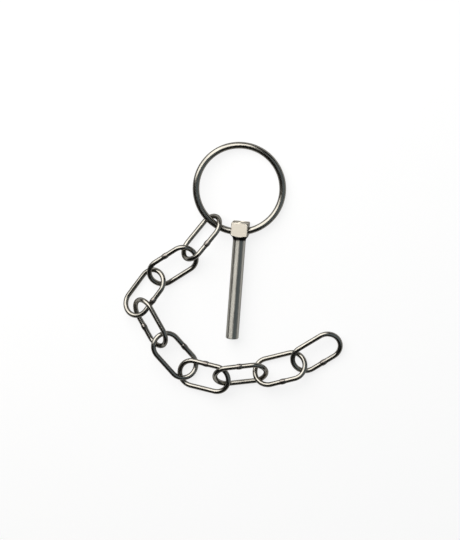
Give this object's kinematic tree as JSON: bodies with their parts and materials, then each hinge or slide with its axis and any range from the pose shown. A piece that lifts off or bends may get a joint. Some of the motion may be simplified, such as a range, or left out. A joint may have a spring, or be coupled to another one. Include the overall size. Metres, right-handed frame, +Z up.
{
  "type": "lock pin with ring and chain",
  "caption": "Solid round lock pin with a square cross-drilled head, a wire pull ring through the head and a chain of long oval welded links hung on the ring.",
  "frame": {"origin": "on the pin's axis where the round shank meets the shoulder of the head", "axes": "+Y runs along the pin from tip to head in the table plane, +Z is up from the table the part lies on"},
  "size_m": [0.1348, 0.154, 0.0172],
  "materials": {
    "pin": "fine turned shank with lengthwise drawing marks, milled head faces",
    "ring": "polished drawn wire",
    "chain": "polished welded wire links with small butt-weld beads"
  },
  "bodies": {
    "pin": {"pin": "pin"},
    "ring": {"ring": "ring"},
    "link_1": {"chain_link_1": "chain"},
    "link_2": {"chain_link_2": "chain"},
    "link_3": {"chain_link_3": "chain"},
    "link_4": {"chain_link_4": "chain"},
    "link_5": {"chain_link_5": "chain"},
    "link_6": {"chain_link_6": "chain"},
    "link_7": {"chain_link_7": "chain"},
    "link_8": {"chain_link_8": "chain"},
    "link_9": {"chain_link_9": "chain"}
  },
  "joints": [
    {"name": "ring_swing", "type": "hinge", "parent": "pin", "child": "ring", "pos_m": [0, 0.0058, 0.00012], "axis": [-1, 0, 0], "range_deg": [-165, 165]},
    {"name": "link_1_swing", "type": "hinge", "parent": "ring", "child": "link_1", "pos_m": [-0.01884, 0.01103, 0.00119], "axis": [-0.7753, 0.6311, 0.0251], "range_deg": [-160, 120]},
    {"name": "link_2_swing", "type": "hinge", "parent": "link_1", "child": "link_2", "pos_m": [-0.03297, -0.0088, -0.00004], "axis": [-0.0406, -0.7999, 0.5988], "range_deg": [-130, 66]},
    {"name": "link_3_swing", "type": "hinge", "parent": "link_2", "child": "link_3", "pos_m": [-0.05295, -0.02419, 0.00042], "axis": [-0.0169, 0.9496, 0.313], "range_deg": [-118, 21]},
    {"name": "link_4_swing", "type": "hinge", "parent": "link_3", "child": "link_4", "pos_m": [-0.05059, -0.04337, 0.00403], "axis": [-0.5298, -0.8479, 0.0175], "range_deg": [-16, 170]},
    {"name": "link_5_swing", "type": "hinge", "parent": "link_4", "child": "link_5", "pos_m": [-0.045, -0.06806, 0.0003], "axis": [0.7883, -0.213, 0.5772], "range_deg": [-140, 45]},
    {"name": "link_6_swing", "type": "hinge", "parent": "link_5", "child": "link_6", "pos_m": [-0.0218, -0.07551, -0.00353], "axis": [-0.4441, 0.8953, 0.0354], "range_deg": [-112, 0]},
    {"name": "link_7_swing", "type": "hinge", "parent": "link_6", "child": "link_7", "pos_m": [-0.00068, -0.08908, 0.00135], "axis": [0.4244, 0.8795, 0.2156], "range_deg": [-14, 80]},
    {"name": "link_8_swing", "type": "hinge", "parent": "link_7", "child": "link_8", "pos_m": [0.01834, -0.08374, -0.00331], "axis": [-0.857, -0.473, -0.2045], "range_deg": [-34, 70]},
    {"name": "link_9_swing", "type": "hinge", "parent": "link_8", "child": "link_9", "pos_m": [0.04513, -0.07505, 0.00043], "axis": [0.2832, 0.9283, -0.2411], "range_deg": [-6, 121]}
  ]
}
